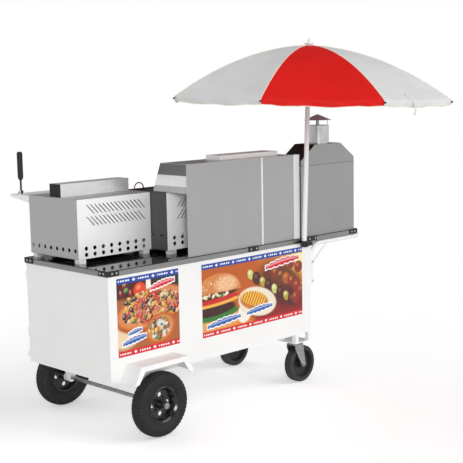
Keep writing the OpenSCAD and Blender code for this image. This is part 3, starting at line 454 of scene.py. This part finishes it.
# the tie strap, sewn near the hem of one white gore, hangs past its lower edge
strap = {"gore": 5, "share": 0.40, "above": 0.93, "width": 0.013, "below": 0.062, "turn": 0.10,
         "sewnRows": 8, "hangRows": 12, "columns": 5, "proud": 0.003, "out": 0.008, "sway": 0.004,
         "step": 0.002, "thick": 0.0012}
strapT = np.linspace(strap["above"], 1, strap["sewnRows"])
strapShare = strap["share"] + strap["turn"] * (strapT - strap["above"]) * 4
onCloth = clothAt(np.full(strap["sewnRows"], strap["gore"]), strapShare, strapT)
onCloth[:, 2] += strap["proud"]
edge = onCloth[-1]
away = edge[:2] / np.linalg.norm(edge[:2])
downward = np.linspace(0, 1, strap["hangRows"])[1:]
swing = strap["out"] + strap["sway"] * np.sin(downward * 3)
free = np.stack([edge[0] + away[0] * swing, edge[1] + away[1] * swing,
                 edge[2] - strap["step"] - downward * strap["below"]], -1)
strapLine = np.concatenate([onCloth, free])
strapSide = np.array([-away[1], away[0], 0.0])
strapAcross = np.linspace(-0.5, 0.5, strap["columns"])[None, :, None]
strapGrid = strapLine[:, None] + strapSide * strapAcross * strap["width"]
tie = makePiece("canopy_tie_strap", leaning(strapGrid.reshape(-1, 3)),
                gridFaces(len(strapLine), strap["columns"]), whiteCloth, "umbrella", "canopy")
tie.data.uv_layers.new(name="cloth")
strapThick = tie.modifiers.new("strap_thickness", "SOLIDIFY")
strapThick.thickness, strapThick.offset = strap["thick"], 0
print("umbrella cloth, seams and strap")

# the large tyres with their tread, in metres
tyre = {"outer": 0.156, "half": 0.0418, "rim": 0.088, "groove": 0.0045, "lugs": 48,
        "lugDepth": 0.0032, "rows": 128, "columns": 336, "tread": 0.016, "shoulder": 0.026,
        "shoulderFrom": 0.62, "lugFrom": 0.45, "zigzag": 0.06,
        "grooves": ((0.18, 0.05), (0.5, 0.045)), "ring": 0.0009, "ringWide": 0.0013,
        "narrowing": 0.35, "roundings": 6}


def tyreMesh(centre):
    # the section is a closed loop of rounded straight runs, spun round the axle; grooves and
    # shoulder lugs cut into it
    w, r, rim = tyre["half"], tyre["outer"], tyre["rim"]
    half = np.array([[rim - 0.006, 0.62], [rim + 0.010, 0.86], [rim + 0.030, 1.0],
                     [r - 0.022, 0.96], [r - 0.007, 0.74], [r - 0.001, 0.40], [r, 0.0]])
    section = np.concatenate([half * [1, -1], half[-2::-1]]) * [1, w]
    length = np.concatenate([[0], np.cumsum(np.linalg.norm(np.diff(section, axis=0), axis=1))])
    at = np.linspace(0, length[-1], tyre["rows"])
    radius, offset = np.interp(at, length, section[:, 0]), np.interp(at, length, section[:, 1])
    for _ in range(tyre["roundings"]):  # rounds the corners of the section
        radius[1:-1] = (radius[:-2] + 2 * radius[1:-1] + radius[2:]) / 4
        offset[1:-1] = (offset[:-2] + 2 * offset[1:-1] + offset[2:]) / 4
    turn = np.linspace(0, 2 * np.pi, tyre["columns"], endpoint=False)
    side = np.abs(offset)[:, None] / w
    onTread = radius[:, None] > r - tyre["tread"]
    zigzag = tyre["zigzag"] * np.abs((turn * tyre["lugs"] / np.pi) % 2 - 1)[None]
    grooves = sum(np.exp(-((side - at - zigzag) / wide) ** 4) for at, wide in tyre["grooves"])
    crownBand = np.where(onTread, grooves, 0)
    shoulder = (side > tyre["shoulderFrom"]) & (radius[:, None] > r - tyre["shoulder"])
    lug = (np.sin(turn * tyre["lugs"])[None] > tyre["lugFrom"]) & shoulder
    fromRings = [(radius[:, None] - at) / tyre["ringWide"] for at in (rim + 0.026, r - 0.033)]
    rings = tyre["ring"] * sum(np.exp(-away ** 2) for away in fromRings)
    deep = tyre["groove"] * crownBand + tyre["lugDepth"] * lug
    finalRadius = radius[:, None] - deep
    narrowed = offset[:, None] * (1 - tyre["narrowing"] * deep / w)
    finalOffset = narrowed + np.sign(offset)[:, None] * (rings - tyre["ring"])
    x = centre[0] + finalRadius * np.cos(turn)[None]
    z = centre[2] + finalRadius * np.sin(turn)[None]
    y = centre[1] + finalOffset * np.ones_like(turn)[None]
    points = np.stack([x, y, z], -1).reshape(-1, 3)
    return points, gridFaces(tyre["rows"], tyre["columns"], True, True)


for end in ("front", "back"):
    low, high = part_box(f"tyre_{end}")
    points, faces = tyreMesh((low + high) / 2)
    rubber = makePiece(f"treaded_tyre_{end}", points, faces, tyreRubber, f"wheel_{end}", "tyre")
    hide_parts(f"tyre_{end}")
print("tyres")

# the printed films, in metres: the grid's step, the border strips' height, the beat of their marks
# and the film's thickness
print2d = {"step": 0.002, "strip": 0.027, "beat": 0.118, "thick": 0.0004}


def over(canvas, mask, hexColour):
    # paints a colour over the canvas where the mask is 1
    return canvas * (1 - mask[..., None]) + np.array(linear(hexColour)[:3]) * mask[..., None]


def oval(x, z, cx, cz, rx, rz, tilt=0.0, edge=12):
    # 1 inside a tilted oval, falling to 0 over a soft edge
    c, s = np.cos(tilt), np.sin(tilt)
    u, v = (x - cx) * c + (z - cz) * s, -(x - cx) * s + (z - cz) * c
    return np.clip((1 - np.hypot(u / rx, v / rz)) * edge, 0, 1)


def dabs(canvas, x, z, rows):
    # ovals painted one after another, each with its centre, radii, tilt, edge and colour
    for *place, hexColour in rows:
        canvas = over(canvas, oval(x, z, *place), hexColour)
    return canvas


def ribbon(canvas, x, z, start, end, wide, colour, bend):
    # a plain painted swash with a white border, in place of words
    t = (x - start[0]) / (end[0] - start[0])
    middle = start[1] + (end[1] - start[1]) * t + bend * np.sin(np.pi * np.clip(t, 0, 1))
    body = wide * (0.55 + 0.45 * np.sin(np.pi * np.clip(t, 0, 1))) * (0.86 + 0.14 * np.cos(t * 38))
    away = np.abs(z - middle)
    inside = (t > -0.02) & (t < 1.02)
    canvas = over(canvas, np.where(inside, np.clip((body + 0.006 - away) / 0.002, 0, 1), 0),
                  "#FFFFFF")
    inside = (t > 0.0) & (t < 1.0)
    canvas = over(canvas, np.where(inside, np.clip((body - away) / 0.002, 0, 1), 0), colour)
    glint = np.clip((body * 0.35 - np.abs(z - middle - body * 0.3)) / 0.002, 0, 1) * 0.35
    return over(canvas, np.where(inside, glint, 0), "#FFFFFF")


def strips(canvas, x, z, width, height):
    # a blue band along the top and a red one along the bottom, each with white lozenges and dashes
    for low, high, colour in ((height - print2d["strip"], height, "#1B46A0"),
                              (0, print2d["strip"], "#D8141C")):
        canvas = over(canvas, ((z >= low) & (z <= high)).astype(float), colour)
        middle = (low + high) / 2
        along = (x + 0.03) % print2d["beat"]
        lozenge = np.abs(along - 0.014) / 0.010 + np.abs(z - middle) / 0.008 < 1
        beats = ((along * 1000).astype(int) // 5) % 3 != 0
        dash = (np.abs(along - 0.072) < 0.034) & (np.abs(z - middle) < 0.0042) & beats
        canvas = over(canvas, (lozenge | dash).astype(float), "#F4F6FA")
    return canvas


def scatter(canvas, x, z, draw, cx, cz, rx, rz, count, sizes, colours):
    # oval toppings at random places inside an oval area
    for i in range(count):
        reach, turn = np.sqrt(draw.random()), draw.random() * 2 * np.pi
        px, pz = cx + rx * reach * np.cos(turn), cz + rz * reach * np.sin(turn)
        size = sizes[0] + (sizes[1] - sizes[0]) * draw.random()
        colour = colours[draw.integers(len(colours))]
        tilt = draw.random() * 3
        canvas = over(canvas, oval(x, z, px, pz, size, size * 0.66, tilt, 5), colour)
        shine = 0.35 * oval(x, z, px - size * 0.2, pz + size * 0.25,
                            size * 0.5, size * 0.25, tilt, 4)
        canvas = over(canvas, shine, "#FFF3D8")
    return canvas


def pizzaPrint(x, z, width, height):
    # a large pizza over a small one on a board, tomatoes behind
    draw = np.random.default_rng(11)
    canvas = np.ones((*x.shape, 3)) * linear("#A9622F")[:3]
    canvas = over(canvas, np.clip((z - height * 0.70) / 0.02, 0, 1), "#481414")
    canvas = dabs(canvas, x, z, [
        (width * 0.86, height * 0.9, 0.11, 0.08, 0, 3, "#17281A"),
        (width * 0.50, height * 0.86, 0.016, 0.06, 0, 8, "#F2EDE2"),
    ])
    canvas = scatter(canvas, x, z, draw, width * 0.2, height * 0.84, 0.06, 0.04, 6, (0.012, 0.02),
                     ["#7A1F22", "#A3262A", "#4E8A3B"])
    canvas = dabs(canvas, x, z, [
        (width * 0.36, height * 0.82, 0.040, 0.036, 0, 8, "#E0401C"),
        (width * 0.34, height * 0.85, 0.016, 0.012, 0.4, 4, "#F58A54"),
        (width * 0.14, height * 0.30, 0.11, 0.085, 0.3, 4, "#E9CFA9"),
        (width * 0.55, height * 0.54, 0.235, 0.105, 0.15, 14, "#B5541D"),
        (width * 0.55, height * 0.56, 0.222, 0.092, 0.15, 12, "#D9813A"),
        (width * 0.55, height * 0.57, 0.208, 0.080, 0.15, 10, "#D98A5C"),
    ])
    canvas = scatter(canvas, x, z, draw, width * 0.54, height * 0.57, 0.190, 0.074, 230,
                     (0.008, 0.020),
                     ["#B8221E", "#C8452C", "#D9A93A", "#231418", "#E8C79C", "#C9604C", "#4A6428",
                      "#8E2A20", "#3A1A1A"])
    canvas = dabs(canvas, x, z, [
        (width * 0.68, height * 0.26, 0.100, 0.078, 0.2, 14, "#C8601F"),
        (width * 0.68, height * 0.27, 0.086, 0.064, 0.2, 10, "#D08A45"),
    ])
    canvas = scatter(canvas, x, z, draw, width * 0.67, height * 0.27, 0.068, 0.050, 80,
                     (0.007, 0.015),
                     ["#7D3038", "#C0392F", "#E9C34A", "#4A1F28", "#E6B3A2", "#D8E0D6", "#5C7A33"])
    canvas = dabs(canvas, x, z, [
        (width * 0.68, height * 0.33, 0.024, 0.019, 0, 5, "#CFDAD8"),
        (width * 0.70, height * 0.31, 0.008, 0.006, 0, 5, "#221C20"),
    ])
    for start, end, wide, colour, bend in (
        ((width * 0.53, height * 0.80), (width * 0.93, height * 0.87), 0.017, "#D61C2C", 0.004),
        ((width * 0.16, height * 0.27), (width * 0.38, height * 0.31), 0.012, "#1D5DB0", 0.002),
        ((width * 0.07, height * 0.155), (width * 0.45, height * 0.215), 0.017, "#1D5DB0", 0.003)):
        canvas = ribbon(canvas, x, z, start, end, wide, colour, bend)
    return strips(canvas, x, z, width, height)


def grillPrint(x, z, width, height):
    # a burger, a bun with mustard and two skewers on an orange ground
    draw = np.random.default_rng(5)
    canvas = np.ones((*x.shape, 3)) * linear("#C05A12")[:3]
    canvas = over(canvas, np.clip((x + z - 0.70) / 0.34, 0, 1), "#DE9A18")
    canvas = dabs(canvas, x, z, [
        (width * 0.97, height * 0.80, 0.10, 0.07, 0, 2, "#FFE98A"),
        (width * 0.80, height * 0.12, 0.28, 0.16, 0, 3, "#8E1812"),
        (width * 0.2, 0.02, 0.24, 0.07, 0, 4, "#E8872A"),
        (0.10, height * 0.19, 0.190, 0.050, 0, 10, "#E3A257"),
        (0.08, height * 0.29, 0.185, 0.034, 0.03, 8, "#2F7A2B"),
        (0.07, height * 0.36, 0.170, 0.036, 0.02, 10, "#3A160F"),
        (0.09, height * 0.44, 0.180, 0.016, 0.05, 8, "#F4B64A"),
        (0.09, height * 0.49, 0.175, 0.020, 0.05, 8, "#CC1F1B"),
        (0.08, height * 0.55, 0.180, 0.018, 0.05, 8, "#4A1B14"),
    ])
    canvas = scatter(canvas, x, z, draw, 0.09, height * 0.55, 0.11, 0.008, 12, (0.010, 0.016),
                     ["#E8D7AE", "#6FA34A", "#F2E6CB"])
    bun = oval(x, z, 0.115, height * 0.57, 0.165, 0.105, 0.0, 12)
    bun = bun * np.clip((z - height * 0.575) / 0.006, 0, 1)
    canvas = over(canvas, bun, "#D68545")
    canvas = over(canvas, bun * oval(x, z, 0.17, height * 0.68, 0.10, 0.055, 0, 2), "#F0B98A")
    for seed in range(46):
        reach, turn = np.sqrt(draw.random()), draw.random() * np.pi
        canvas = over(canvas, oval(x, z, 0.115 + 0.14 * reach * np.cos(turn),
                                   height * 0.63 + 0.062 * reach * np.sin(turn),
                                   0.0034, 0.0026, 0.4, 4), "#FBE7C4")
    canvas = over(canvas, 0.85 * oval(x, z, width * 0.78, height * 0.52, 0.22, 0.13, -0.5, 3),
                  "#4A1A10")
    for step in range(8):  # first skewer, from the middle down to the right
        px, pz = 0.345 + step * 0.045, height * (0.74 - step * 0.068)
        meat = step % 2 == 1
        wide, tall = (0.033, 0.040) if meat else (0.022, 0.030)
        chunk = "#4A1D16" if meat else ("#C9D07A" if step % 4 == 0 else "#B5A23A")
        canvas = over(canvas, oval(x, z, px, pz, wide, tall, 0.5, 7), chunk)
        canvas = over(canvas, 0.7 * oval(x, z, px - 0.006, pz + 0.012, 0.014, 0.012, 0.5, 3),
                      "#9A4A2E" if meat else "#EFF0C4")
    for step in range(6):  # second skewer above it
        px, pz = 0.53 + step * 0.043, height * (0.70 - step * 0.055)
        canvas = over(canvas, oval(x, z, px, pz, 0.031, 0.036, 0.6, 7),
                      ["#8A2E1C", "#6A3A1C", "#B5551F"][step % 3])
        canvas = over(canvas, 0.7 * oval(x, z, px - 0.005, pz + 0.012, 0.014, 0.012, 0.6, 3),
                      "#D98A4A")
    for px, pz in ((0.655, 0.80), (0.715, 0.72), (0.70, 0.45), (0.735, 0.36), (0.69, 0.28)):
        canvas = over(canvas, oval(x, z, px, height * pz, 0.036, 0.036, 0.2, 6), "#8E2B1B")
        shine = 0.6 * oval(x, z, px - 0.006, height * pz + 0.012, 0.016, 0.012, 0.2, 3)
        canvas = over(canvas, shine, "#D5773E")
    bread = oval(x, z, 0.395, height * 0.34, 0.150, 0.078, -0.25, 12)
    canvas = over(canvas, bread, "#EFE3CC")
    canvas = over(canvas, oval(x, z, 0.37, height * 0.36, 0.112, 0.050, -0.25, 10), "#C9742C")
    mustard = oval(x, z, 0.365, height * 0.40, 0.105, 0.040, -0.25, 8)
    stripe = (np.sin((x * 0.92 - z * 0.5) * 330) > 0.1) * mustard
    canvas = over(canvas, stripe, "#F6C93A")
    canvas = over(canvas, oval(x, z, 0.30, height * 0.23, 0.062, 0.052, 0.9, 8) * (1 - bread),
                  "#F4EBD9")
    for start, end, wide, colour, bend in (
        ((width * 0.615, height * 0.79), (width * 0.965, height * 0.86), 0.020, "#D61C2C", 0.006),
        ((width * 0.045, height * 0.135), (width * 0.36, height * 0.195), 0.018, "#1D5DB0", 0.003),
        ((width * 0.42, height * 0.20), (width * 0.68, height * 0.245), 0.017, "#1D5DB0", 0.003)):
        canvas = ribbon(canvas, x, z, start, end, wide, colour, bend)
    return strips(canvas, x, z, width, height)


# self-adhesive vinyl under a clear film: the colours are painted into the grid's own attribute
vinyl = finish("printed_vinyl_film", "#FFFFFF", 0.0, 0.3, 0.04, (2, 2, 2), 0.004, (80, 80, 80),
               IOR=1.48, Coat_Weight=0.3, Coat_Roughness=0.1)
vinylTree = vinyl.node_tree
ink = add(vinylTree, "Attribute", {"attribute_name": "ink"})
vinylTree.links.new(ink.outputs["Color"], vinylTree.nodes["Principled BSDF"].inputs["Base Color"])

for nodeName, paint in (("print_small", pizzaPrint), ("print_wide", grillPrint)):
    low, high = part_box(nodeName)
    width, height = high.x - low.x, high.z - low.z
    across = int(round(width / print2d["step"])) + 1
    upward = int(round(height / print2d["step"])) + 1
    x, z = np.meshgrid(np.linspace(0, width, across), np.linspace(0, height, upward))
    grid = np.stack([low.x + x, np.full_like(x, low.y), low.z + z], -1).reshape(-1, 3)
    film = makePiece(f"{nodeName}_film", grid, gridFaces(upward, across), vinyl, "cart", "print",
                     smooth=False)
    colours = np.concatenate([paint(x, z, width, height).reshape(-1, 3), np.ones((x.size, 1))], 1)
    inkLayer = film.data.attributes.new("ink", "FLOAT_COLOR", "POINT")
    inkLayer.data.foreach_set("color", colours.astype(np.float32).ravel())
    filmBack = film.modifiers.new("film_thickness", "SOLIDIFY")
    filmBack.thickness, filmBack.offset = print2d["thick"], -1
    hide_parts(nodeName)
print("printed panels")

# metres and degrees; the lens in millimetres on a 36 mm sensor
view = {"place": (-3.6247, -4.0389, 1.6415), "yaw": 45.0, "pitch": 7.958, "roll": -1.051,
        "lens": 82.37}
yaw, pitch, roll = (np.radians(view[key]) for key in ("yaw", "pitch", "roll"))
forward = Vector((np.sin(yaw) * np.cos(pitch), np.cos(yaw) * np.cos(pitch), -np.sin(pitch)))
right = Vector((np.cos(yaw), -np.sin(yaw), 0))
above = right.cross(forward)
right, above = (right * np.cos(roll) + above * np.sin(roll),
                above * np.cos(roll) - right * np.sin(roll))
cameraData = bpy.data.cameras.new("studio_camera")
cameraData.lens, cameraData.sensor_width, cameraData.clip_end = view["lens"], 36, 200
camera = bpy.data.objects.new("studio_camera", cameraData)
facing = Matrix((right, above, -forward)).transposed().to_4x4()
camera.matrix_world = Matrix.Translation(view["place"]) @ facing
scene.collection.objects.link(camera)
scene.camera = camera

floorSize, floorGlow = 60, 0.36
floorMaterial = finish("matt_paper_floor", "#F6F6F6", 0.0, 0.8, 0.02, (6, 6, 6), 0.01,
                       (400, 400, 400))
# the paper is lit from below for the camera alone, so it fades into the white behind it
floorTree = floorMaterial.node_tree
paper = floorTree.nodes["Principled BSDF"]
paper.inputs["Emission Color"].default_value = (1, 1, 1, 1)
byCamera = add(floorTree, "LightPath").outputs["Is Camera Ray"]
glow = add(floorTree, "Math", {"operation": "MULTIPLY"}, {0: byCamera, 1: floorGlow})
floorTree.links.new(glow.outputs[0], paper.inputs["Emission Strength"])
floorMesh = bpy.data.meshes.new("studio_floor")
floorMesh.from_pydata([(-floorSize, -floorSize, 0), (floorSize, -floorSize, 0),
                       (floorSize, floorSize, 0), (-floorSize, floorSize, 0)], [], [(0, 1, 2, 3)])
floorMesh.materials.append(floorMaterial)
floor = bpy.data.objects.new("studio_floor", floorMesh)
scene.collection.objects.link(floor)

# soft lamps: where each shines from, its strength and its spread in degrees
lamps = {"key": ((0.55, -0.80, 0.95), 1.15, 50), "fill": ((-0.9, -0.25, 0.75), 0.40, 60),
         "back": ((-0.3, 0.9, 0.9), 0.6, 60), "front": ((-0.62, -0.80, 0.26), 1.25, 20)}
for name, (fromSide, strength, spread) in lamps.items():
    lampData = bpy.data.lights.new(f"{name}_lamp", "SUN")
    lampData.energy, lampData.angle = strength, np.radians(spread)
    lamp = bpy.data.objects.new(f"{name}_lamp", lampData)
    lamp.rotation_euler = Vector(fromSide).to_track_quat("Z", "Y").to_euler()
    scene.collection.objects.link(lamp)

# the room that the metal mirrors: bright screen to the right, a dimmer one to the left, dark
# overhead
levels = {"bright": 0.86, "dim": 0.36, "between": 0.20, "overhead": 0.22}
world = bpy.data.worlds.new("studio_room")
scene.world = world
world.use_nodes = True
room = world.node_tree
room.nodes.clear()
toward = add(room, "TexCoord").outputs["Generated"]
side = add(room, "VectorMath", {"operation": "DOT_PRODUCT"},
           {0: toward, 1: (0.62, -0.78, 0.0)}).outputs["Value"]
upPart = add(room, "SeparateXYZ", {}, {0: toward}).outputs["Z"]
bright = add(room, "MapRange", {"interpolation_type": "SMOOTHSTEP"},
             {0: side, 1: 0.15, 2: 0.85, 3: 0.0, 4: levels["bright"]})
dim = add(room, "MapRange", {"interpolation_type": "SMOOTHSTEP"},
          {0: side, 1: -0.15, 2: -0.85, 3: 0.0, 4: levels["dim"]})
screens = add(room, "Math", {"operation": "ADD"}, {0: bright.outputs[0], 1: dim.outputs[0]})
lit = add(room, "Math", {"operation": "ADD"}, {0: screens.outputs[0], 1: levels["between"]})
overhead = add(room, "MapRange", {"interpolation_type": "SMOOTHSTEP"},
               {0: upPart, 1: 0.12, 2: 0.62, 3: 1.0, 4: levels["overhead"]})
level = add(room, "Math", {"operation": "MULTIPLY"}, {0: lit.outputs[0], 1: overhead.outputs[0]})
seen = add(room, "LightPath").outputs["Is Camera Ray"]
total = add(room, "Mix", {"data_type": "FLOAT"}, {0: seen, 2: level.outputs[0], 3: 1.0})
shine = add(room, "Background", {}, {"Color": (1, 1, 1, 1), "Strength": total.outputs[0]})
add(room, "OutputWorld", {}, {"Surface": shine.outputs[0]})
print("studio")
